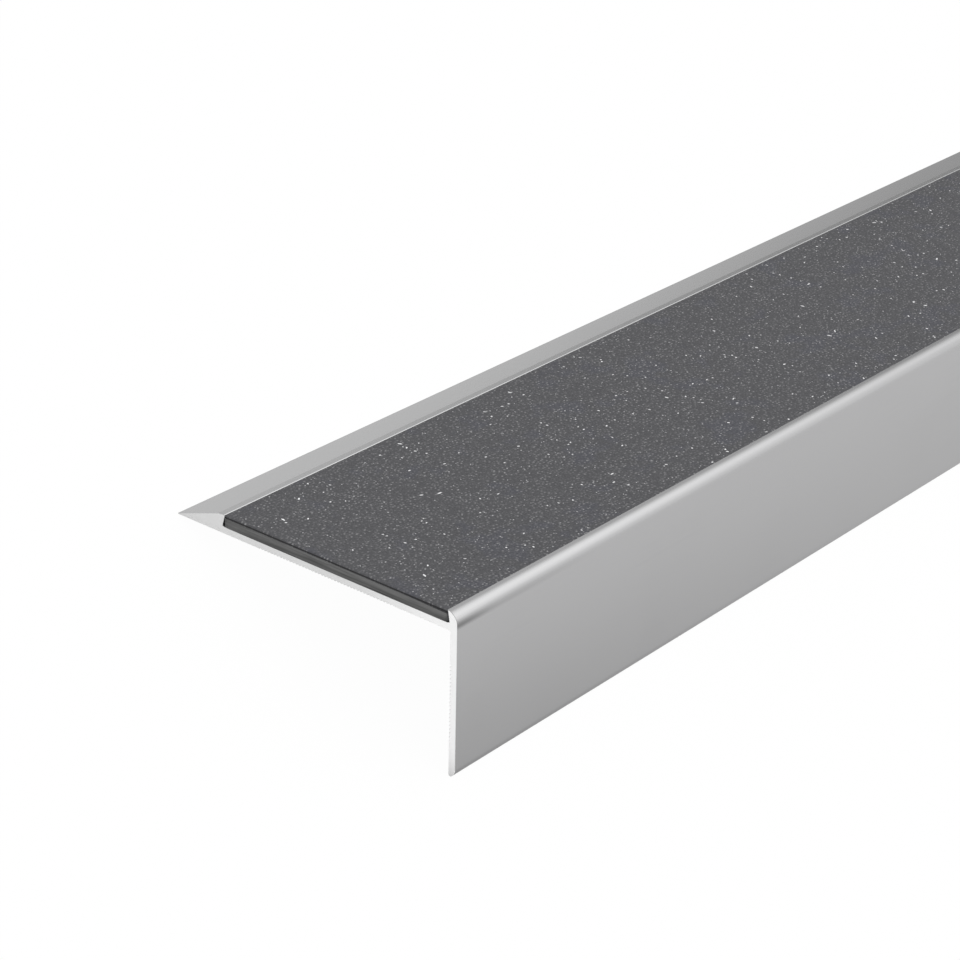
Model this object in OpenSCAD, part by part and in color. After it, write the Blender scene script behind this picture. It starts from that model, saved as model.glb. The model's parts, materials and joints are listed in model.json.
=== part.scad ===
// Ramp-back stair nosing: an extruded aluminium angle that caps the front edge of a stair,
// with a slip-resistant strip held in a dovetail recess in its tread.
//
// The section is drawn as it sits on a stair: 2-D x runs from the front face to the back tip,
// 2-D y runs up from the underside of the tread plate. The bar lies on the floor on its back tip
// and on the toe of its riser leg, so the finished section is tipped back by rest_tilt.

/* [Stock] */
// Length of the cut bar
length = 900; // [300:10:3000]

/* [Insert] */
// Width of the slip-resistant strip
insert_w = 55; // [40:0.5:80]
// Thickness of the strip
insert_t = 2.5; // [2:0.1:4]

/* [Recess] */
// Clearance on each side of the strip, at the mouth of the recess
insert_gap = 0.1; // [0.05:0.05:0.5]
// How far the strip's face lies below the lip and the ramp crest
insert_sink = 0.1; // [0:0.05:0.4]
// How far the recess runs under the front lip
lip_undercut = 0.4; // [0.1:0.05:0.5]
// How far the recess runs under the ramp crest
crest_undercut = 0.6; // [0.1:0.05:0.8]
// Width of the bevel in the two lower corners of the recess, and on the strip's lower edges
corner_w = 0.6; // [0.5:0.1:2]
// Height of that bevel
corner_h = 0.2; // [0.1:0.05:0.6]

/* [Tread leg] */
// Thickness of the plate under the strip
plate_t = 1.4; // [1.2:0.1:3]
// Width of the ramp, from the mouth of the recess to the back tip
ramp_w = 12.55; // [8:0.05:25]
// Thickness left at the back tip
tip_t = 0.2; // [0.1:0.05:0.6]
// Radius of the front edge of the ramp's crest
crest_r = 0.3; // [0.1:0.05:0.6]
// Width of the land along the crest, between its front edge and the ramp
crest_land = 1.4; // [0.4:0.1:3]
// How far that land falls towards the ramp
crest_fall = 0.18; // [0:0.02:0.4]

/* [Nose] */
// Width of the nose, from the front face to the tip of the lip
lip_w = 2.25; // [1.8:0.05:4]
// Width of the land on top of the lip, which slopes down to the nose
lip_land = 0.4; // [0.1:0.05:0.8]
// Radius of the nose
nose_r = 2.5; // [1.8:0.05:3.5]

/* [Riser leg] */
// Drop of the leg below the underside of the tread plate
riser_drop = 30; // [20:0.5:60]
// Thickness of the leg
riser_t = 1.6; // [1.2:0.1:2.4]
// Radius that eases the front of the toe
toe_front_r = 2.5; // [2.4:0.1:4]
// Radius at the back of the toe
toe_back_r = 0.4; // [0.2:0.05:0.6]
// Radius of the inner corner between the two legs
inner_r = 0.6; // [0.2:0.1:2]

/* [Glue grooves] */
// Distance from groove to groove
groove_pitch = 0.8; // [0.6:0.1:2]
// Width of a groove at its mouth
groove_w = 0.5; // [0.2:0.05:0.55]
// Depth of a groove
groove_depth = 0.25; // [0.1:0.05:0.4]
// Plain land kept on the underside, from the front face to the grooves
nose_land = 15; // [5:0.5:25]
// Plain land kept on the underside, from the grooves to the back tip
heel_land = 21; // [5:0.5:30]
// Plain land kept on the back of the leg, from the underside to the grooves
riser_land = 6.7; // [3:0.1:10]
// Plain land kept on the back of the leg, from the grooves to the toe
toe_land = 7; // [2:0.1:10]

/* [Hidden] */
$fn = 96;
// Overlap that makes a cut run clear of the face it starts from
clear = 1;

// Levels and stations of the section
mouth_front = lip_w;
mouth_back = mouth_front + insert_w + 2 * insert_gap;
tread_depth = mouth_back + ramp_w;
top_h = plate_t + insert_t + insert_sink;
tip = [tread_depth, tip_t];
heel = [tread_depth, 0];

// Bands left for the grooves
tread_band = tread_depth - nose_land - heel_land;
riser_band = riser_drop - riser_land - toe_land;

// Nose: an arc tangent to the front face, and to the land that slopes up from it to the tip of the lip
lip_slope = atan2(lip_land, nose_r) + asin((nose_r - lip_w) / norm([nose_r, lip_land]));
lip_tip = [lip_w, top_h];
lip_front = lip_tip - lip_land * [cos(lip_slope), sin(lip_slope)];
nose_c = lip_front + nose_r * [sin(lip_slope), -cos(lip_slope)];

// Crest: a rounded front edge, then a land that falls to the top of the ramp
crest_c = [mouth_back + crest_r, top_h - crest_r];
land_front = [crest_c.x, top_h];
land_back = land_front + [crest_land, -crest_fall];

// Toe: a front arc tangent to the front face, running into the small arc at the back
toe_back_c = [riser_t - toe_back_r, -riser_drop + toe_back_r];
toe_rise = sqrt(pow(toe_front_r - toe_back_r, 2) - pow(toe_front_r - toe_back_c.x, 2));
toe_front_c = [toe_front_r, toe_back_c.y + toe_rise];
toe_way = (toe_back_c - toe_front_c) / (toe_front_r - toe_back_r);

// Pose on the floor: the line from the back tip that touches the toe lies level
rest_reach = heel - toe_back_c;
rest_tilt = atan2(rest_reach.y, rest_reach.x) + asin(toe_back_r / norm(rest_reach));
rest_lift = tread_depth * sin(rest_tilt);
rest_back = tip.x * cos(rest_tilt) + tip.y * sin(rest_tilt);
rest_front = toe_front_c.x * cos(rest_tilt) + toe_front_c.y * sin(rest_tilt) - toe_front_r;
rest_middle = (rest_front + rest_back) / 2;

// Lays an extruded section on the floor, centred on the origin
module lie_on_floor() {
    translate([-length / 2, -rest_middle, rest_lift])
        rotate([-rest_tilt, 0, 0])
            rotate([90, 0, 90])
                linear_extrude(length) children();
}

module disc(centre, r) {
    translate(centre) circle(r);
}

// What is taken off the front edge to round it into the nose
module nose_waste() {
    difference() {
        translate([-clear, nose_c.y]) square(nose_r + clear);
        disc(nose_c, nose_r);
        polygon([lip_front, lip_tip, [lip_tip.x, nose_c.y], [lip_front.x, nose_c.y]]);
    }
}

// Back wedge that carries feet and wheels up to the strip
module ramp() {
    polygon([[mouth_back, 0], heel, tip, land_back, land_front, crest_c, [mouth_back, crest_c.y]]);
    disc(crest_c, crest_r);
}

// Dovetail recess that holds the strip
module recess() {
    polygon([
        [mouth_front, top_h + clear],
        [mouth_front, top_h],
        [mouth_front - lip_undercut, plate_t + corner_h],
        [mouth_front - lip_undercut + corner_w, plate_t],
        [mouth_back + crest_undercut - corner_w, plate_t],
        [mouth_back + crest_undercut, plate_t + corner_h],
        [mouth_back, crest_c.y],
        [mouth_back, top_h + clear],
    ]);
}

// Rounded lower end of the riser leg
module toe() {
    difference() {
        intersection() {
            disc(toe_front_c, toe_front_r);
            translate([0, -riser_drop]) square([riser_t, riser_drop + toe_front_c.y]);
        }
        difference() {
            polygon([
                toe_back_c,
                toe_back_c + clear * toe_way,
                [riser_t + clear, -riser_drop - clear],
                [riser_t + clear, toe_back_c.y],
            ]);
            disc(toe_back_c, toe_back_r);
        }
    }
}

module riser() {
    translate([0, toe_front_c.y]) square([riser_t, plate_t - toe_front_c.y]);
    toe();
}

// Front wall of the recess, still square, and the plate that runs back from it to the ramp
module tread() {
    square([lip_w, top_h]);
    square([crest_c.x, plate_t]);
}

// Web that fills the inner corner between the two legs
module inner_fillet() {
    translate([riser_t, -inner_r]) difference() {
        square(inner_r);
        disc([inner_r, 0], inner_r);
    }
}

// Row of V grooves along 2-D x, cut up from y = 0, that keys the adhesive
module glue_grooves(band) {
    flare = groove_w / 2 * (1 + clear / groove_depth);
    for (i = [0 : floor(band / groove_pitch) - 1])
        translate([(i + 0.5) * groove_pitch, 0])
            polygon([[-flare, -clear], [flare, -clear], [0, groove_depth]]);
}

module profile_section() {
    difference() {
        union() {
            tread();
            ramp();
            riser();
            inner_fillet();
        }
        nose_waste();
        recess();
        translate([nose_land, 0]) glue_grooves(tread_band);
        translate([riser_t, -riser_land]) mirror([1, 1]) glue_grooves(riser_band);
    }
}

// Strip with its two lower edges bevelled to drop past the corners of the recess
module insert_section() {
    translate([mouth_front + insert_gap, plate_t])
        polygon([
            [corner_w, 0],
            [insert_w - corner_w, 0],
            [insert_w, corner_h],
            [insert_w, insert_t],
            [0, insert_t],
            [0, corner_h],
        ]);
}

module nosing_profile() {
    color("#b2b2b4") lie_on_floor() profile_section();
}

module grip_insert() {
    color("#5b5b5e") lie_on_floor() insert_section();
}

nosing_profile();
grip_insert();
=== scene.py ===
"""Stair nosing: an anodised aluminium angle with a speckled grip strip set in its tread.

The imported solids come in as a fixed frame. The bar and the strip are redrawn over them, with smooth
curves, sawn ends, flecks and finishes, and they lie on a pale studio floor.
"""
import json
import math

import bpy
from mathutils import Matrix, Vector


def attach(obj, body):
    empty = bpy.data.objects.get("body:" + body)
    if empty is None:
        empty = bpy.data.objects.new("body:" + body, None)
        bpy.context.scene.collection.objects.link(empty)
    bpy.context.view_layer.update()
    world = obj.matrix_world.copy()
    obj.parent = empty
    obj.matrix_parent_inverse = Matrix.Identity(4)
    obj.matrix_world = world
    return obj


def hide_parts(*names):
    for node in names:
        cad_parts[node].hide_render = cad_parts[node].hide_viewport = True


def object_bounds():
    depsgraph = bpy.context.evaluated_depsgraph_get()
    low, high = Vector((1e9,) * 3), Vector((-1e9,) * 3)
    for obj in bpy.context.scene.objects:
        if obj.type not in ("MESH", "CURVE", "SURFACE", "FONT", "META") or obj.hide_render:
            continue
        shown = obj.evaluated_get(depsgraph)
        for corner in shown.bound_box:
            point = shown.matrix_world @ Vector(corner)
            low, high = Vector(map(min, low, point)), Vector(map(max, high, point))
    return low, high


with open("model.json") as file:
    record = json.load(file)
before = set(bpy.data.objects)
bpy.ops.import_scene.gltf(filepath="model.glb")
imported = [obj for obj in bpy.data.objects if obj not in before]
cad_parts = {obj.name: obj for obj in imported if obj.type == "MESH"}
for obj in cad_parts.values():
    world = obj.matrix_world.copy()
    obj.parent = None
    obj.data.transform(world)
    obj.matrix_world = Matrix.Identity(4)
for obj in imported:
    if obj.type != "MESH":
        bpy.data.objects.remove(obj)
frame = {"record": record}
cad_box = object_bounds()

bl_info = {
    "name": "Stair Nosing",
    "version": (1, 0, 0),
    "blender": (4, 5, 0),
    "location": "View3D > Sidebar > Nosing",
    "description": "Draws an aluminium stair nosing with a speckled grip strip, and the studio round it",
    "category": "Add Mesh",
}

MM = 0.001
BLACK = (0, 0, 0)
WHITE = (1, 1, 1)

# The bar lies tipped back on the floor. Its two glue faces give the directions of its section.
mounts = {mount["name"]: mount for mount in frame["record"]["mounts"]}
SECTION_UP = -Vector(mounts["tread_bed"]["axis"])
SECTION_BACK = Vector(mounts["riser_bed"]["axis"])
UNDERSIDE_LEVEL = Vector(mounts["tread_bed"]["pos_m"]).dot(SECTION_UP)
LEG_BACK_DEPTH = Vector(mounts["riser_bed"]["pos_m"]).dot(SECTION_BACK)
REST_TILT = math.atan2(SECTION_UP.y, SECTION_UP.z)
BAR_LENGTH = cad_box[1].x - cad_box[0].x


def size(name, description, millimetres):
    """A length in the sidebar."""
    return bpy.props.FloatProperty(
        name=name, description=description, default=millimetres * MM, unit="LENGTH", precision=5
    )


def colour(name, description, rgb):
    """A colour in the sidebar."""
    return bpy.props.FloatVectorProperty(
        name=name, description=description, default=rgb, subtype="COLOR", min=0.0, max=1.0
    )


class NosingSizes(bpy.types.PropertyGroup):
    """Sizes of the section, as on a level stair"""

    length: size("Length", "Length of the cut bar", BAR_LENGTH / MM)
    insert_w: size("Strip width", "Width of the grip strip", 55)
    insert_t: size("Strip thickness", "Thickness of the grip strip", 2.5)
    insert_gap: size("Strip clearance", "Clearance on each side of the strip at the mouth of the recess", 0.1)
    insert_sink: size("Strip sink", "How far the strip's face lies below the lip", 0.1)
    lip_undercut: size("Lip undercut", "How far the recess runs under the front lip", 0.4)
    crest_undercut: size("Crest undercut", "How far the recess runs under the ramp crest", 0.6)
    corner_w: size("Corner width", "Width of the bevels low in the recess and on the strip", 0.6)
    corner_h: size("Corner height", "Height of those bevels", 0.2)
    plate_t: size("Plate thickness", "Thickness of the plate under the strip", 1.4)
    ramp_w: size("Ramp width", "Width of the ramp behind the strip", 12.55)
    tip_t: size("Tip thickness", "Thickness left at the back tip", 0.2)
    crest_r: size("Crest radius", "Radius of the front edge of the ramp's crest", 0.3)
    crest_land: size("Crest land", "Width of the land along the crest, in front of the ramp", 1.4)
    crest_fall: size("Crest fall", "How far that land falls towards the ramp", 0.18)
    lip_w: size("Nose width", "Width of the nose, from the front face to the tip of the lip", 2.25)
    lip_land: size("Lip land", "Width of the land on top of the lip, which slopes down to the nose", 0.4)
    nose_r: size("Nose radius", "Radius of the nose", 2.5)
    riser_drop: size("Leg drop", "Drop of the riser leg below the underside of the plate", 30)
    riser_t: size("Leg thickness", "Thickness of the riser leg", 1.6)
    toe_front_r: size("Toe front radius", "Radius that eases the front of the toe", 2.5)
    toe_back_r: size("Toe back radius", "Radius at the back of the toe", 0.4)
    inner_r: size("Inner radius", "Radius of the corner between the two legs", 0.6)
    groove_pitch: size("Groove pitch", "Distance between the glue grooves", 0.8)
    groove_w: size("Groove width", "Width of a glue groove at its mouth", 0.5)
    groove_depth: size("Groove depth", "Depth of a glue groove", 0.25)
    nose_land: size("Nose land", "Plain land on the underside, from the front face to the grooves", 15)
    heel_land: size("Heel land", "Plain land on the underside, from the grooves to the back tip", 21)
    riser_land: size("Leg land", "Plain land on the leg's back, above the grooves", 6.7)
    toe_land: size("Toe land", "Plain land on the leg's back, below the grooves", 7)
    sawn_edge: size("Sawn edge", "Edge broken along the sawn ends of the bar", 0.06)
    wear_t: size("Wear layer", "Thickness of the speckled layer on top of the strip", 0.6)
    wear_inset: size("Wear layer inset", "How far that layer stops short of the strip's cut ends", 0.12)
    wear_end_r: size("Wear layer end radius", "Rounding of that layer at the cut ends", 0.26)
    wear_side_r: size("Wear layer side radius", "Rounding of that layer along its sides", 0.06)
    fleck_margin: size("Fleck margin", "Plain border kept free of large flecks", 0.6)


class NosingColours(bpy.types.PropertyGroup):
    """Colours of the finishes"""

    metal: colour("Aluminium", "Satin anodised face", (0.447, 0.447, 0.45))
    sawn: colour("Sawn aluminium", "Bare metal of the cut ends", (0.92, 0.92, 0.92))
    grip: colour("Grip", "Ground colour of the strip", (0.0797, 0.0797, 0.0847))
    grip_blue: colour("Grip, cool patches", "Cooler clouds in the strip's ground", (0.0783, 0.0793, 0.091))
    speck: colour("Specks", "Fine grit in the strip", (0.27, 0.27, 0.275))
    cut: colour("Strip ends", "Cut ends of the strip", (0.138, 0.138, 0.137))
    # Painted shade for the line along the top of the strip's cut ends, where the wear layer is set back
    cut_edge_shade: colour("Strip ends, dark", "Cut edge of the wear layer", (0.024, 0.024, 0.025))
    fleck_dull: colour("Dull flecks", "Greyest of the large flecks", (0.20, 0.20, 0.21))
    fleck_bright: colour("Bright flecks", "Palest of the large flecks", (0.92, 0.92, 0.93))
    floor: colour("Floor", "Studio floor", (0.9, 0.9, 0.9))


class Section:
    """Stations, levels and arc centres of the section, as points of depth and height."""

    def __init__(self, sizes):
        self.mouth_front = sizes.lip_w
        self.mouth_back = self.mouth_front + sizes.insert_w + 2 * sizes.insert_gap
        self.top = sizes.plate_t + sizes.insert_t + sizes.insert_sink
        self.tip = Vector((self.mouth_back + sizes.ramp_w, sizes.tip_t))
        self.heel = Vector((self.tip.x, 0))
        nose_span = Vector((sizes.nose_r, sizes.lip_land))
        nose_overlap = sizes.nose_r - sizes.lip_w
        lip_slope = math.atan2(nose_span.y, nose_span.x) + math.asin(nose_overlap / nose_span.length)
        along_lip = Vector((math.cos(lip_slope), math.sin(lip_slope)))
        self.lip_tip = Vector((sizes.lip_w, self.top))
        self.nose_centre = self.lip_tip - along_lip * sizes.lip_land - along_lip.orthogonal() * sizes.nose_r
        self.nose_turn = math.pi / 2 - lip_slope
        self.crest_centre = Vector((self.mouth_back + sizes.crest_r, self.top - sizes.crest_r))
        land_front = Vector((self.crest_centre.x, self.top))
        self.land_back = land_front + Vector((sizes.crest_land, -sizes.crest_fall))
        self.toe_back_centre = Vector((sizes.riser_t - sizes.toe_back_r, sizes.toe_back_r - sizes.riser_drop))
        toe_step = sizes.toe_front_r - sizes.toe_back_r
        toe_across = sizes.toe_front_r - self.toe_back_centre.x
        self.toe_turn = math.acos(toe_across / toe_step)
        toe_rise = math.sqrt(toe_step**2 - toe_across**2)
        self.toe_front_centre = Vector((sizes.toe_front_r, self.toe_back_centre.y + toe_rise))

    def groove_stations(self, band, pitch):
        """Middles of the grooves that fit in a band, measured from its start."""
        return [(i + 0.5) * pitch for i in range(int(band / pitch))]


def rest_pose(sizes):
    """Matrix that lays the level section on the floor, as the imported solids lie."""
    depth_zero = LEG_BACK_DEPTH - sizes.riser_t
    place = SECTION_UP * UNDERSIDE_LEVEL + SECTION_BACK * depth_zero
    return Matrix.Translation(place) @ Matrix.Rotation(-REST_TILT, 4, "X")


class Pen:
    """Draws a closed section at one end of the bar, from lines and arcs, and draws it out along the bar."""

    ARC_STEP = math.radians(4)
    FEWEST_STEPS = 3
    SAME_PLACE = MM / 500

    def __init__(self, name, station, start):
        bpy.ops.object.select_all(action="DESELECT")
        bpy.ops.mesh.primitive_plane_add(size=MM, location=(station, start.x, start.y))
        self.piece = bpy.context.object
        self.piece.name = name
        self.piece.data.name = name
        self.station = station
        self.here = start.copy()
        bpy.ops.object.mode_set(mode="EDIT")
        bpy.ops.mesh.select_mode(type="VERT")
        bpy.ops.mesh.select_all(action="SELECT")
        bpy.ops.mesh.merge(type="CENTER")

    def line_to(self, *point):
        there = Vector(point)
        step = there - self.here
        bpy.ops.mesh.extrude_vertices_move(TRANSFORM_OT_translate={"value": (0, step.x, step.y)})
        self.here = there

    def arc(self, centre, turn):
        """Turns round a centre, from depth towards height. The spin operator counts the other way."""
        bpy.ops.mesh.spin(
            steps=max(self.FEWEST_STEPS, round(abs(turn) / self.ARC_STEP)),
            angle=-turn,
            center=(self.station, centre.x, centre.y),
            axis=(1, 0, 0),
        )
        self.here = centre + Matrix.Rotation(turn, 2) @ (self.here - centre)

    def draw_out(self, length):
        """Closes and fills the outline, and extrudes it along the bar."""
        bpy.ops.mesh.select_all(action="SELECT")
        bpy.ops.mesh.remove_doubles(threshold=self.SAME_PLACE)
        bpy.ops.mesh.select_all(action="SELECT")
        bpy.ops.mesh.edge_face_add()
        bpy.ops.mesh.extrude_region_move(TRANSFORM_OT_translate={"value": (length, 0, 0)})
        bpy.ops.mesh.select_all(action="SELECT")
        bpy.ops.mesh.normals_make_consistent(inside=False)
        bpy.ops.object.mode_set(mode="OBJECT")
        bpy.ops.object.transform_apply(location=True, rotation=True, scale=True)
        return self.piece


def select_faces(piece, wanted):
    """Leaves the piece in edit mode with only the wanted faces selected."""
    bpy.ops.object.mode_set(mode="EDIT")
    bpy.ops.mesh.select_mode(type="FACE")
    bpy.ops.mesh.select_all(action="DESELECT")
    bpy.ops.object.mode_set(mode="OBJECT")
    for face in piece.data.polygons:
        face.select = wanted(face)
    if not any(face.select for face in piece.data.polygons):
        raise RuntimeError(f"no face of {piece.name} is in the place that was asked for")
    bpy.ops.object.mode_set(mode="EDIT")


def select_edges(piece, wanted):
    """Leaves the piece in edit mode with only the edges selected whose two ends are wanted."""
    bpy.ops.object.mode_set(mode="EDIT")
    bpy.ops.mesh.select_mode(type="EDGE")
    bpy.ops.mesh.select_all(action="DESELECT")
    bpy.ops.object.mode_set(mode="OBJECT")
    points = [vertex.co for vertex in piece.data.vertices]
    for edge in piece.data.edges:
        edge.select = wanted(*(points[index] for index in edge.vertices))
    if not any(edge.select for edge in piece.data.edges):
        raise RuntimeError(f"no edge of {piece.name} is in the place that was asked for")
    bpy.ops.object.mode_set(mode="EDIT")


def lay_down(piece, pose):
    """Puts a level piece in its pose on the floor, with its place in its mesh."""
    bpy.ops.object.mode_set(mode="OBJECT")
    bpy.ops.object.select_all(action="DESELECT")
    piece.select_set(True)
    bpy.context.view_layer.objects.active = piece
    piece.matrix_world = pose
    bpy.ops.object.transform_apply(location=True, rotation=True, scale=True)


class Value:
    """A node's output. Sums on it add Math nodes."""

    def __init__(self, graph, socket):
        self.graph = graph
        self.socket = socket

    def math(self, operation, first, second):
        return self.graph.node("ShaderNodeMath", {"operation": operation}, {0: first, 1: second})

    def __add__(self, other):
        return self.math("ADD", self, other)

    def __radd__(self, other):
        return self.math("ADD", other, self)

    def __sub__(self, other):
        return self.math("SUBTRACT", self, other)

    def __rsub__(self, other):
        return self.math("SUBTRACT", other, self)

    def __mul__(self, other):
        return self.math("MULTIPLY", self, other)

    def __rmul__(self, other):
        return self.math("MULTIPLY", other, self)

    def __gt__(self, other):
        return self.math("GREATER_THAN", self, other)

    def __lt__(self, other):
        return self.math("LESS_THAN", self, other)


class Graph:
    """A node tree, and the one method that adds nodes to it."""

    def __init__(self, tree):
        self.tree = tree
        tree.nodes.clear()

    def node(self, kind, settings=None, inputs=None, output=0):
        """Adds a node, sets it, feeds its sockets with values or links, and gives one of its outputs."""
        new = self.tree.nodes.new(kind)
        for name, value in (settings or {}).items():
            setattr(new, name, value)
        for key, value in (inputs or {}).items():
            if isinstance(value, Value):
                self.tree.links.new(value.socket, new.inputs[key])
            else:
                new.inputs[key].default_value = value
        return Value(self, new.outputs[output]) if new.outputs else None

    def also(self, value, output):
        """Another output of the node that a value comes from."""
        return Value(self, value.socket.node.outputs[output])

    def blend(self, amount, first, second):
        """Mix of two colours."""
        return self.node(
            "ShaderNodeMix", {"data_type": "RGBA"}, {"Factor": amount, 6: opaque(first), 7: opaque(second)}, 2
        )

    def fade(self, value, start, end, low=0.0, high=1.0):
        """Value carried smoothly from one range to another, and held at its ends."""
        return self.node(
            "ShaderNodeMapRange",
            {"interpolation_type": "SMOOTHSTEP"},
            {"Value": value, "From Min": start, "From Max": end, "To Min": low, "To Max": high},
        )


def opaque(rgb):
    """Colour as a node's socket takes it."""
    return rgb if isinstance(rgb, Value) else (*rgb, 1.0)


class Finish(Graph):
    """A procedural material, patterned in millimetres along the section's own axes."""

    FAINTEST_SPECK = 0.2

    def __init__(self, name, pose):
        material = bpy.data.materials.new(name)
        material.use_nodes = True
        super().__init__(material.node_tree)
        self.material = material
        back = pose.inverted()
        coordinates = self.node("ShaderNodeTexCoord", {}, {}, "Object")
        self.place = self.node(
            "ShaderNodeMapping",
            {},
            {
                "Vector": coordinates,
                "Location": back.translation / MM,
                "Rotation": back.to_euler(),
                "Scale": Vector((1, 1, 1)) / MM,
            },
        )

    def axis(self, name):
        """Distance along the bar (X), to the back (Y) or up (Z), in millimetres."""
        return self.node("ShaderNodeSeparateXYZ", {}, {0: self.place}, name)

    def noise(self, scale, detail, stretch=None):
        """Noise in cells per millimetre, stretched along the section's axes if asked."""
        place = self.place
        if stretch:
            place = self.node("ShaderNodeVectorMath", {"operation": "MULTIPLY"}, {0: place, 1: stretch})
        return self.node("ShaderNodeTexNoise", {}, {"Vector": place, "Scale": scale, "Detail": detail})

    def grit(self, scale, radius, share_bare):
        """Round specks in cells per millimetre, more faint than bright. A share of the cells is bare."""
        cells = self.node(
            "ShaderNodeTexVoronoi", {"voronoi_dimensions": "2D"}, {"Vector": self.place, "Scale": scale}
        )
        draws = self.also(cells, "Color")
        chance = self.node("ShaderNodeSeparateColor", {}, {0: draws}, "Red")
        paleness = self.node("ShaderNodeSeparateColor", {}, {0: draws}, "Green")
        strength = self.FAINTEST_SPECK + paleness * paleness * (1 - self.FAINTEST_SPECK)
        return self.fade(cells, radius, radius / 2) * (chance > share_bare) * strength

    def surface(self, inputs, height=None, bump_strength=0.0, bump_depth=0.0):
        """Ends the material with a Principled surface, bumped by a height if there is one."""
        if height is not None:
            inputs["Normal"] = self.node(
                "ShaderNodeBump", {}, {"Strength": bump_strength, "Distance": bump_depth, "Height": height}
            )
        shader = self.node("ShaderNodeBsdfPrincipled", {}, inputs)
        self.node("ShaderNodeOutputMaterial", {}, {"Surface": shader})
        return self.material


def anodised_finish(pose, colours, sizes):
    """Satin etched and anodised extrusion: faint die lines along the bar under a fine matt grain, with a
    painted dark reflection low on the nose near the near sawn end.
    """
    plain_tone, uneven_tone = 0.94, 0.06
    plain_rough, line_rough, cloud_rough = 0.225, 0.04, 0.03
    line_height, grain_height = 0.4, 0.6
    finish = Finish("anodised_aluminium", pose)
    lines = finish.noise(scale=1.6, detail=3.0, stretch=(0.006, 1.0, 1.0))
    clouds = finish.noise(scale=0.05, detail=2.0)
    grain = finish.noise(scale=5.0, detail=1.0)
    # The tone is darkened by a painted dark reflection low on the nose, near the near sawn end.
    tone = (plain_tone + lines * uneven_tone + clouds * uneven_tone) * (1.0 - painted_nose_reflection(finish, sizes))
    rough = plain_rough + lines * line_rough + clouds * cloud_rough
    return finish.surface(
        {"Base Color": finish.blend(tone, BLACK, colours.metal), "Metallic": 1.0, "Roughness": rough},
        height=lines * line_height + grain * grain_height,
        bump_strength=0.12,
        bump_depth=0.01 * MM,
    )


def painted_nose_reflection(finish, sizes):
    """Painted dark reflection low on the nose, that fades away from the near sawn end."""
    bottom, darkest_level, top = 0.4, 1.45, 2.75
    nose_depth = 1.2
    near_end = -sizes.length / 2 / MM
    along = finish.axis("X") - near_end
    height = finish.axis("Z")
    patch = finish.fade(along, start=0.0, end=12.0, low=0.36, high=0.0)
    tail = finish.fade(along, start=0.0, end=45.0, low=0.17, high=0.0)
    above = finish.fade(height, start=darkest_level, end=top, low=1.0, high=0.0)
    below = finish.fade(height, start=bottom, end=darkest_level)
    return (patch + tail) * above * below * (finish.axis("Y") < nose_depth)


def sawn_finish(pose, colours):
    """Bare sawn aluminium: bright, with fine marks left by the blade, and darker away from the nose."""
    plain_tone, mark_tone, cloud_tone = 0.93, 0.08, 0.06
    plain_rough, mark_rough = 0.42, 0.12
    finish = Finish("sawn_aluminium", pose)
    marks = finish.noise(scale=3.0, detail=2.0, stretch=(1.0, 0.5, 3.0))
    clouds = finish.noise(scale=0.25, detail=2.0)
    darker_to_back = finish.fade(finish.axis("Y"), start=0.0, end=28.0, low=1.0, high=0.77)
    tone = (plain_tone + marks * mark_tone + clouds * cloud_tone) * darker_to_back
    rough = plain_rough + marks * mark_rough
    return finish.surface(
        {"Base Color": finish.blend(tone, BLACK, colours.sawn), "Metallic": 0.75, "Roughness": rough},
        height=marks,
        bump_strength=0.15,
        bump_depth=0.02 * MM,
    )


def speckled_finish(pose, colours):
    """Matt grip surface: a dark pitted ground with rare cool clouds, and clumps of fine grey grit."""
    coarse_paleness, fine_paleness, dust_paleness = 0.74, 0.36, 0.16
    coarse_bare, fine_bare, clumping = 1.08, 1.32, 1.7
    plain_rough, grit_gloss, grit_height = 0.8, 0.2, 0.6
    finish = Finish("speckled_grip", pose)
    clouds = finish.noise(scale=0.12, detail=2.0)
    crowd = finish.noise(scale=0.32, detail=3.0)
    dust = finish.noise(scale=2.6, detail=1.0)
    coarse = finish.grit(scale=1.15, radius=0.31, share_bare=coarse_bare - crowd * clumping)
    fine = finish.grit(scale=2.0, radius=0.34, share_bare=fine_bare - crowd * clumping)
    powder = finish.fade(dust, start=0.5, end=0.8)
    amount = coarse * coarse_paleness + fine * fine_paleness + powder * dust_paleness
    pits = finish.fade(dust, start=0.28, end=0.46, low=0.78, high=1.0)
    cool = finish.fade(clouds, start=0.54, end=0.68)
    ground = finish.blend(pits, BLACK, finish.blend(cool, colours.grip, colours.grip_blue))
    base = finish.blend(amount, ground, colours.speck)
    return finish.surface(
        {"Base Color": base, "Roughness": plain_rough - coarse * grit_gloss, "Specular IOR Level": 0.3},
        height=dust + amount * grit_height,
        bump_strength=0.35,
        bump_depth=0.06 * MM,
    )


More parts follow.
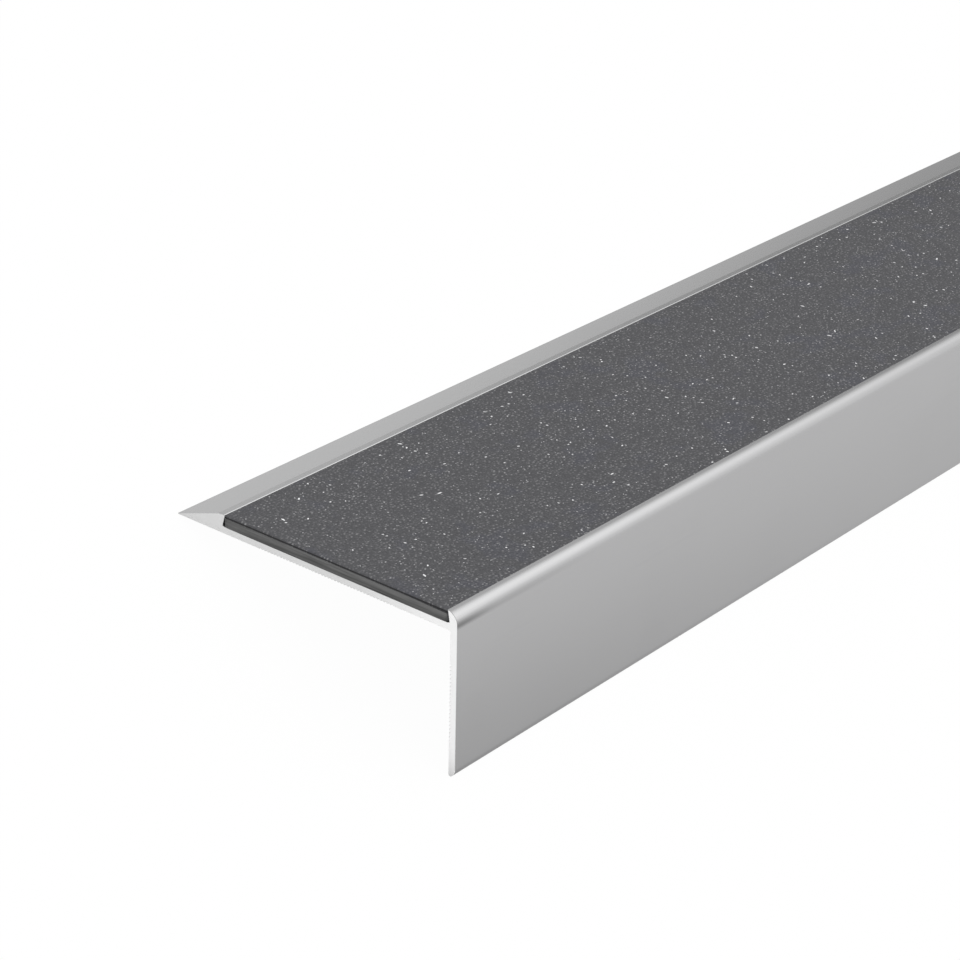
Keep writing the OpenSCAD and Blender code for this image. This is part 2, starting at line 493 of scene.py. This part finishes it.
def cut_grip_finish(pose, colours, shoulder):
    """Cut ends of the strip: drawn-out streaks, with a dark line of painted shade along the top where the
    wear layer is set back, and painted shade at both sides.
    """
    streak_contrast, streak_offset = 2.3, 0.15
    shade_line_front, shade_line_back = shoulder / MM - 0.15, shoulder / MM + 0.03
    finish = Finish("cut_grip", pose)
    depth = finish.axis("Y")
    height = finish.axis("Z")
    streaks = finish.noise(scale=2.0, detail=3.0, stretch=(1.0, 0.04, 1.0))
    upwards = finish.fade(height, start=1.6, end=3.1, low=0.56, high=0.98)
    backwards = finish.fade(depth, start=2.0, end=57.0, low=1.08, high=0.9)
    # Painted shade towards both sides of the cut end, where it meets the lip and the crest
    painted_shade_at_lip = finish.fade(depth, start=2.3, end=3.0, low=0.6, high=1.0)
    painted_shade_at_crest = finish.fade(depth, start=56.2, end=57.4, low=1.0, high=0.75)
    tone = upwards * backwards * painted_shade_at_lip * painted_shade_at_crest * (streaks * streak_contrast - streak_offset)
    body = finish.blend(tone, BLACK, colours.cut)
    # A dark line of painted shade along the top of the cut end, where the wear layer is set back
    shade_line = finish.fade(depth, start=2.0, end=14.0, low=shade_line_front, high=shade_line_back)
    base = finish.blend(height > shade_line, body, colours.cut_edge_shade)
    return finish.surface(
        {"Base Color": base, "Roughness": 0.7, "Specular IOR Level": 0.25},
        height=streaks,
        bump_strength=0.2,
        bump_depth=0.03 * MM,
    )


def fleck_finish(pose, colours):
    """Large flecks, from dull grey to nearly white, each with a tone of its own."""
    plain_tone, grain_tone = 0.85, 0.3
    finish = Finish("pale_flecks", pose)
    tone = finish.node("ShaderNodeAttribute", {"attribute_name": "tone"}, {}, "Fac")
    grain = finish.noise(scale=6.0, detail=1.0)
    base = finish.blend(tone * (plain_tone + grain * grain_tone), colours.fleck_dull, colours.fleck_bright)
    return finish.surface({"Base Color": base, "Roughness": 0.5, "Specular IOR Level": 0.4})


def fleck_scatter(name, sizes, section, material):
    """Geometry nodes that strew thin chips over the strip's face, half sunk in it."""
    group = bpy.data.node_groups.new(name, "GeometryNodeTree")
    group.interface.new_socket("Geometry", in_out="INPUT", socket_type="NodeSocketGeometry")
    group.interface.new_socket("Geometry", in_out="OUTPUT", socket_type="NodeSocketGeometry")
    graph = Graph(group)
    strip = graph.node("NodeGroupInput")
    chip_t = 0.06 * MM
    chip_sides = 5
    chip_taper = 0.8
    face_level = sizes.plate_t + sizes.insert_t
    middle = (section.mouth_front + section.mouth_back) / 2
    patch = graph.node(
        "GeometryNodeMeshGrid",
        {},
        {
            "Size X": sizes.length - 2 * (sizes.wear_inset + sizes.fleck_margin),
            "Size Y": sizes.insert_w - 2 * sizes.fleck_margin,
            "Vertices X": 2,
            "Vertices Y": 2,
        },
    )
    patch = graph.node(
        "GeometryNodeTransform", {}, {"Geometry": patch, "Translation": (0, middle, face_level - chip_t / 2)}
    )
    chip = graph.node(
        "GeometryNodeMeshCone",
        {},
        {"Vertices": chip_sides, "Radius Top": chip_taper, "Radius Bottom": 1.0, "Depth": 1.0},
    )

    def strew(seed, per_square_mm, shortest, longest, tones):
        """One crop of chips."""
        points = graph.node(
            "GeometryNodeDistributePointsOnFaces",
            {},
            {"Mesh": patch, "Density": per_square_mm / MM**2, "Seed": seed},
        )
        turn = graph.node(
            "FunctionNodeRandomValue",
            {"data_type": "FLOAT_VECTOR"},
            {0: (0, 0, 0), 1: (0, 0, math.tau), "Seed": seed + 1},
        )
        spread = graph.node(
            "FunctionNodeRandomValue",
            {"data_type": "FLOAT_VECTOR"},
            {0: (*shortest, chip_t), 1: (*longest, chip_t), "Seed": seed + 2},
        )
        chips = graph.node(
            "GeometryNodeInstanceOnPoints",
            {},
            {"Points": points, "Instance": chip, "Rotation": turn, "Scale": spread},
        )
        tone = graph.node(
            "FunctionNodeRandomValue", {"data_type": "FLOAT"}, {2: tones[0], 3: tones[1], "Seed": seed + 3}, 1
        )
        return graph.node(
            "GeometryNodeStoreNamedAttribute",
            {"data_type": "FLOAT", "domain": "INSTANCE"},
            {"Geometry": chips, "Name": "tone", "Value": tone},
        )

    large = strew(
        seed=5,
        per_square_mm=0.003,
        shortest=(0.35 * MM, 0.16 * MM),
        longest=(0.75 * MM, 0.26 * MM),
        tones=(0.85, 1.0),
    )
    bright = strew(
        seed=11,
        per_square_mm=0.018,
        shortest=(0.20 * MM, 0.15 * MM),
        longest=(0.42 * MM, 0.24 * MM),
        tones=(0.6, 1.0),
    )
    dull = strew(
        seed=23,
        per_square_mm=0.11,
        shortest=(0.12 * MM, 0.10 * MM),
        longest=(0.26 * MM, 0.17 * MM),
        tones=(0.05, 0.5),
    )
    crops = graph.node("GeometryNodeJoinGeometry")
    for crop in (large, bright, dull):
        group.links.new(crop.socket, crops.socket.node.inputs[0])
    chips = graph.node("GeometryNodeRealizeInstances", {}, {"Geometry": crops})
    chips = graph.node("GeometryNodeSetMaterial", {}, {"Geometry": chips, "Material": material})
    whole = graph.node("GeometryNodeJoinGeometry")
    for part in (chips, strip):
        group.links.new(part.socket, whole.socket.node.inputs[0])
    graph.node("NodeGroupOutput", {}, {"Geometry": whole})
    return group


class NOSING_OT_bar(bpy.types.Operator):
    """Draw the extruded aluminium bar"""

    bl_idname = "nosing.bar"
    bl_label = "Aluminium bar"

    # Faces that turn less than this into each other are shaded as one curve
    CURVE_TURN = math.radians(6)
    # How far a face's normal runs along the bar: on the ends alone, and on the ends with their broken edges
    END_ALONE = 0.9
    END_WITH_EDGE = 0.5
    # How far down the normal of an outer face may run
    OUTER_DOWN = -0.1

    def execute(self, context):
        sizes = context.scene.nosing_sizes
        colours = context.scene.nosing_colours
        pose = rest_pose(sizes)
        section = Section(sizes)
        bar = self.draw_section(sizes, section)
        self.break_sawn_edges(bar, sizes)
        bar.data.materials.append(anodised_finish(pose, colours, sizes))
        bar.data.materials.append(sawn_finish(pose, colours))
        for face in bar.data.polygons:
            face.material_index = 1 if self.is_sawn(face, section) else 0
        lay_down(bar, pose)
        bpy.ops.object.shade_smooth_by_angle(angle=self.CURVE_TURN)
        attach(bar, "root")
        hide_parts("nosing_profile")
        return {"FINISHED"}

    def draw_section(self, sizes, section):
        """The section: from the inner corner down the leg, up the nose, over the recess, back underneath."""
        half = sizes.length / 2 - sizes.sawn_edge
        half_groove = sizes.groove_w / 2
        pen = Pen("nosing_bar", -half, Vector((sizes.riser_t, -sizes.inner_r)))
        band = sizes.riser_drop - sizes.riser_land - sizes.toe_land
        for station in section.groove_stations(band, sizes.groove_pitch):
            level = -sizes.riser_land - station
            pen.line_to(sizes.riser_t, level + half_groove)
            pen.line_to(sizes.riser_t - sizes.groove_depth, level)
            pen.line_to(sizes.riser_t, level - half_groove)
        pen.line_to(sizes.riser_t, section.toe_back_centre.y)
        pen.arc(section.toe_back_centre, section.toe_turn - math.pi)
        pen.arc(section.toe_front_centre, -section.toe_turn)
        pen.line_to(0, section.nose_centre.y)
        pen.arc(section.nose_centre, -section.nose_turn)
        pen.line_to(*section.lip_tip)
        pen.line_to(section.mouth_front - sizes.lip_undercut, sizes.plate_t + sizes.corner_h)
        pen.line_to(section.mouth_front - sizes.lip_undercut + sizes.corner_w, sizes.plate_t)
        pen.line_to(section.mouth_back + sizes.crest_undercut - sizes.corner_w, sizes.plate_t)
        pen.line_to(section.mouth_back + sizes.crest_undercut, sizes.plate_t + sizes.corner_h)
        pen.line_to(section.mouth_back, section.crest_centre.y)
        pen.arc(section.crest_centre, -math.pi / 2)
        pen.line_to(*section.land_back)
        pen.line_to(*section.tip)
        pen.line_to(*section.heel)
        band = section.heel.x - sizes.nose_land - sizes.heel_land
        for station in reversed(section.groove_stations(band, sizes.groove_pitch)):
            depth = sizes.nose_land + station
            pen.line_to(depth + half_groove, 0)
            pen.line_to(depth, sizes.groove_depth)
            pen.line_to(depth - half_groove, 0)
        pen.line_to(sizes.riser_t + sizes.inner_r, 0)
        pen.arc(Vector((sizes.riser_t + sizes.inner_r, -sizes.inner_r)), math.pi / 2)
        return pen.draw_out(2 * half)

    def is_sawn(self, face, section):
        """The saw bares the ends. Their broken edges stay dull along the front, the crest and the ramp."""
        over_strip = section.mouth_front < face.center.y < section.mouth_back
        outer = face.normal.z > self.OUTER_DOWN and not over_strip
        return abs(face.normal.x) > (self.END_ALONE if outer else self.END_WITH_EDGE)

    def break_sawn_edges(self, bar, sizes):
        """Draws each end out by a narrow bevel."""
        select_faces(bar, lambda face: abs(face.normal.x) > self.END_WITH_EDGE)
        bpy.ops.mesh.inset(thickness=sizes.sawn_edge, depth=sizes.sawn_edge)
        bpy.ops.object.mode_set(mode="OBJECT")


class NOSING_OT_strip(bpy.types.Operator):
    """Draw the speckled grip strip"""

    bl_idname = "nosing.strip"
    bl_label = "Grip strip"

    # Faces that turn less than this into each other are shaded as one curve
    CURVE_TURN = math.radians(50)
    # How far the normal of a cut end runs along the bar, and that of the face runs up
    END_ALONG = 0.98
    FACE_UP = 0.9
    # An edge longer than this runs along or across the whole strip
    LONG_EDGE = 10 * MM
    # Edges no further below the strip's face than this belong to it
    NEAR_FACE = MM / 100
    ROUNDING_STEPS = 3

    def execute(self, context):
        sizes = context.scene.nosing_sizes
        colours = context.scene.nosing_colours
        section = Section(sizes)
        pose = rest_pose(sizes)
        strip = self.draw_section(sizes, section)
        self.raise_wear_layer(strip, sizes)
        strip.data.materials.append(speckled_finish(pose, colours))
        shoulder = sizes.plate_t + sizes.insert_t - sizes.wear_t
        strip.data.materials.append(cut_grip_finish(pose, colours, shoulder))
        flecks = fleck_finish(pose, colours)
        strip.data.materials.append(flecks)
        for face in strip.data.polygons:
            face.material_index = 1 if abs(face.normal.x) > self.END_ALONG else 0
        bpy.ops.object.shade_smooth_by_angle(angle=self.CURVE_TURN)
        scatter = strip.modifiers.new("flecks", "NODES")
        scatter.node_group = fleck_scatter("flecks", sizes, section, flecks)
        bpy.ops.object.modifier_apply(modifier=scatter.name)
        lay_down(strip, pose)
        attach(strip, "root")
        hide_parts("grip_insert")
        return {"FINISHED"}

    def draw_section(self, sizes, section):
        """The strip's body, up to the wear layer, with its lower edges bevelled."""
        front = section.mouth_front + sizes.insert_gap
        back = section.mouth_back - sizes.insert_gap
        bottom = sizes.plate_t
        shoulder = bottom + sizes.insert_t - sizes.wear_t
        pen = Pen("grip_strip", -sizes.length / 2, Vector((front, bottom + sizes.corner_h)))
        pen.line_to(front, shoulder)
        pen.line_to(back, shoulder)
        pen.line_to(back, bottom + sizes.corner_h)
        pen.line_to(back - sizes.corner_w, bottom)
        pen.line_to(front + sizes.corner_w, bottom)
        pen.line_to(front, bottom + sizes.corner_h)
        return pen.draw_out(sizes.length)

    def raise_wear_layer(self, strip, sizes):
        """Raises the wear layer between two cuts just inside the ends, and eases its edges."""
        bpy.ops.object.mode_set(mode="EDIT")
        for side in (-1, 1):
            bpy.ops.mesh.select_all(action="SELECT")
            cut = side * (sizes.length / 2 - sizes.wear_inset)
            bpy.ops.mesh.bisect(plane_co=(cut, 0, 0), plane_no=(1, 0, 0))
        bpy.ops.object.mode_set(mode="OBJECT")
        quarter = sizes.length / 4
        select_faces(strip, lambda face: face.normal.z > self.FACE_UP and abs(face.center.x) < quarter)
        bpy.ops.mesh.extrude_region_move(TRANSFORM_OT_translate={"value": (0, 0, sizes.wear_t)})
        bpy.ops.object.mode_set(mode="OBJECT")
        brim = sizes.plate_t + sizes.insert_t - self.NEAR_FACE
        for axis, radius in ((1, sizes.wear_end_r), (0, sizes.wear_side_r)):
            select_edges(strip, lambda a, b: min(a.z, b.z) > brim and abs((b - a)[axis]) > self.LONG_EDGE)
            bpy.ops.mesh.bevel(offset=radius, segments=self.ROUNDING_STEPS)
            bpy.ops.object.mode_set(mode="OBJECT")


class NOSING_OT_stage(bpy.types.Operator):
    """Set the floor, the lights and the camera"""

    bl_idname = "nosing.stage"
    bl_label = "Studio"

    # Soft lights in the sky: degrees round from the bar's far end, degrees up, reach in degrees, strength
    SOFT_LIGHTS = (
        (-31.3, 66.7, 48.5, 1.21),
        (-41, 21.8, 17.8, 0.27),
        (13.4, -5.4, 42.4, -1.25),
    )
    # Levels of the sky: low down, high up from the given height, and the darkest it gets in the shaded side
    SKY_LOW = 1.023
    SKY_HIGH = 0.713
    HIGH_UP = 0.9
    SKY_DARKEST = 0.3

    # The floor: its side in metres, its level as the metal mirrors it, and the share of it that shows white
    FLOOR_SIDE = 40
    FLOOR_LEVEL = 0.98
    WHITE_SHARE = 0.975
    # How dark the painted shade on the floor is in front of the bar and behind it: near its near end, and
    # further along
    SHADE_IN_FRONT = (0.285, 0.145)
    SHADE_BEHIND = (0.16, 0.56)
    # Where those shades change along the bar, in metres from its near end
    FRONT_CHANGE = (-0.04, 0.2)
    BEHIND_CHANGE = (0.0, 0.356)
    # The shade in front: its reach from the toe in metres, and how much it gains in a line at the toe
    TOE_REACH = 0.12
    TOE_LINE = 0.8
    # Width of that line, and of the soft edges of the shade at the bar's two ends, in metres
    SHADE_EDGE = 0.005

    # The photograph's view, measured in the level section's frame
    PICTURE_SIDE = 960
    LENS = 101.01
    SENSOR = 36
    HEADING = math.radians(39.567)
    PITCH = math.radians(-25.964)
    ROLL = math.radians(-1.132)
    # Level on the near end of the nose that the camera's place is measured from, and that place
    NOSE_LEVEL = 1.66 * MM
    FROM_NOSE = Vector((-316.61, -266.22, 229.80)) * MM

    def execute(self, context):
        sizes = context.scene.nosing_sizes
        self.lay_floor(context.scene.nosing_colours)
        self.light_world(context.scene)
        self.set_camera(context.scene, sizes)
        context.scene.view_settings.view_transform = "Standard"
        return {"FINISHED"}

    def lay_floor(self, colours):
        """A pale floor that shows white to the camera and in the metal, and keeps a faint shadow.

        In the metal it carries painted shade beside the bar: along the toe, and behind the bar, most towards
        its far end.
        """
        bpy.ops.object.select_all(action="DESELECT")
        bpy.ops.mesh.primitive_plane_add(size=self.FLOOR_SIDE)
        floor = bpy.context.object
        floor.name = "studio_floor"
        material = bpy.data.materials.new("studio_floor")
        material.use_nodes = True
        # The floor is not sampled as a lamp: with the Light Path switches below, that darkens the metal.
        material.cycles.emission_sampling = "NONE"
        graph = Graph(material.node_tree)
        place = graph.node("ShaderNodeTexCoord", {}, {}, "Object")
        along = graph.node("ShaderNodeSeparateXYZ", {}, {0: place}, "X")
        across = graph.node("ShaderNodeSeparateXYZ", {}, {0: place}, "Y")
        tone = self.shade_floor(graph, along, across)
        near, toe = cad_box[0].xy
        far, heel = cad_box[1].xy
        under_bar = (along > near) * (along < far) * (across > toe) * (across < heel)
        camera = graph.node("ShaderNodeLightPath", {}, {}, "Is Camera Ray")
        glossy = graph.also(camera, "Is Glossy Ray")
        mirrored = camera.math("MAXIMUM", glossy, graph.also(camera, "Is Transmission Ray"))
        shown = camera.math("MAXIMUM", camera, mirrored * (1.0 - under_bar))
        glow = graph.blend(camera, graph.blend(tone, BLACK, WHITE), WHITE)
        white = graph.node("ShaderNodeEmission", {}, {"Color": glow, "Strength": 1.0})
        matt = graph.node("ShaderNodeBsdfDiffuse", {}, {"Color": opaque(colours.floor)})
        shader = graph.node("ShaderNodeMixShader", {}, {0: shown * self.WHITE_SHARE, 1: matt, 2: white})
        graph.node("ShaderNodeOutputMaterial", {}, {"Surface": shader})
        floor.data.materials.append(material)

    def shade_floor(self, graph, along, across):
        """Level of the floor as the metal mirrors it, with painted shade set by its distances along and
        across the bar.
        """
        near, toe = cad_box[0].xy
        far = cad_box[1].x
        after_near = graph.fade(along, near - self.SHADE_EDGE, near)
        before_far = graph.fade(along, far, far + self.SHADE_EDGE, 1.0, 0.0)
        towards_toe = graph.fade(across, toe - self.TOE_REACH, toe)
        at_toe = graph.fade(across, toe - self.SHADE_EDGE, toe, 0.0, self.TOE_LINE)
        front_start, front_end = (near + step for step in self.FRONT_CHANGE)
        in_front = graph.fade(along, front_start, front_end, *self.SHADE_IN_FRONT) * (towards_toe + at_toe)
        behind_start, behind_end = (near + step for step in self.BEHIND_CHANGE)
        behind = graph.fade(along, behind_start, behind_end, *self.SHADE_BEHIND)
        shade = in_front + (across > 0.0) * (behind - in_front)
        return self.FLOOR_LEVEL - after_near * before_far * shade

    def light_world(self, scene):
        """A soft sky, paler low down, with a large soft box, a small low one and a grey shaded side."""
        world = bpy.data.worlds.new("studio")
        world.use_nodes = True
        scene.world = world
        graph = Graph(world.node_tree)
        direction = graph.node("ShaderNodeTexCoord", {}, {}, "Generated")
        height = graph.node("ShaderNodeSeparateXYZ", {}, {0: direction}, "Z")
        sky = graph.fade(height, 0.0, self.HIGH_UP, self.SKY_LOW, self.SKY_HIGH)
        for around, above, reach, strength in self.SOFT_LIGHTS:
            facing = Vector((1, 0, 0))
            facing.rotate(Matrix.Rotation(math.radians(-above), 3, "Y"))
            facing.rotate(Matrix.Rotation(math.radians(around), 3, "Z"))
            nearness = graph.node(
                "ShaderNodeVectorMath", {"operation": "DOT_PRODUCT"}, {0: direction, 1: facing}, "Value"
            )
            sky = sky + graph.fade(nearness, math.cos(math.radians(reach)), 1.0, 0.0, strength)
        sky = sky.math("MAXIMUM", sky, self.SKY_DARKEST)
        shader = graph.node("ShaderNodeBackground", {}, {"Color": sky, "Strength": 1.0})
        graph.node("ShaderNodeOutputWorld", {}, {"Surface": shader})

    def set_camera(self, scene, sizes):
        """The photograph's view, taken from the front of the nose at the near end of the level bar."""
        nose = Vector((-sizes.length / 2, 0, self.NOSE_LEVEL))
        turn = (
            Matrix.Rotation(self.HEADING - math.pi / 2, 4, "Z")
            @ Matrix.Rotation(math.pi / 2 + self.PITCH, 4, "X")
            @ Matrix.Rotation(-self.ROLL, 4, "Z")
        )
        data = bpy.data.cameras.new("camera")
        data.lens = self.LENS
        data.sensor_width = self.SENSOR
        data.clip_start = 10 * MM
        # The view was measured at pixel centres, half a pixel from the picture's own corner.
        half_pixel = 0.5 / self.PICTURE_SIDE
        data.shift_x = -half_pixel
        data.shift_y = half_pixel
        camera = bpy.data.objects.new("camera", data)
        scene.collection.objects.link(camera)
        camera.matrix_world = rest_pose(sizes) @ Matrix.Translation(nose + self.FROM_NOSE) @ turn
        scene.camera = camera


class NOSING_PT_sidebar(bpy.types.Panel):
    """Sizes, colours and steps of the stair nosing"""

    bl_idname = "NOSING_PT_sidebar"
    bl_label = "Stair Nosing"
    bl_space_type = "VIEW_3D"
    bl_region_type = "UI"
    bl_category = "Nosing"

    def draw(self, context):
        for group in (context.scene.nosing_sizes, context.scene.nosing_colours):
            column = self.layout.column(align=True)
            for name in group.bl_rna.properties.keys():
                if name not in ("rna_type", "name"):
                    column.prop(group, name)
        for operator in OPERATORS:
            self.layout.operator(operator.bl_idname)


OPERATORS = (NOSING_OT_bar, NOSING_OT_strip, NOSING_OT_stage)
CLASSES = (NosingSizes, NosingColours, *OPERATORS, NOSING_PT_sidebar)


def register():
    for each in CLASSES:
        bpy.utils.register_class(each)
    bpy.types.Scene.nosing_sizes = bpy.props.PointerProperty(type=NosingSizes)
    bpy.types.Scene.nosing_colours = bpy.props.PointerProperty(type=NosingColours)


def unregister():
    del bpy.types.Scene.nosing_colours
    del bpy.types.Scene.nosing_sizes
    for each in reversed(CLASSES):
        bpy.utils.unregister_class(each)


def main():
    register()
    bpy.ops.nosing.bar()
    bpy.ops.nosing.strip()
    bpy.ops.nosing.stage()


if __name__ == "__main__":
    main()
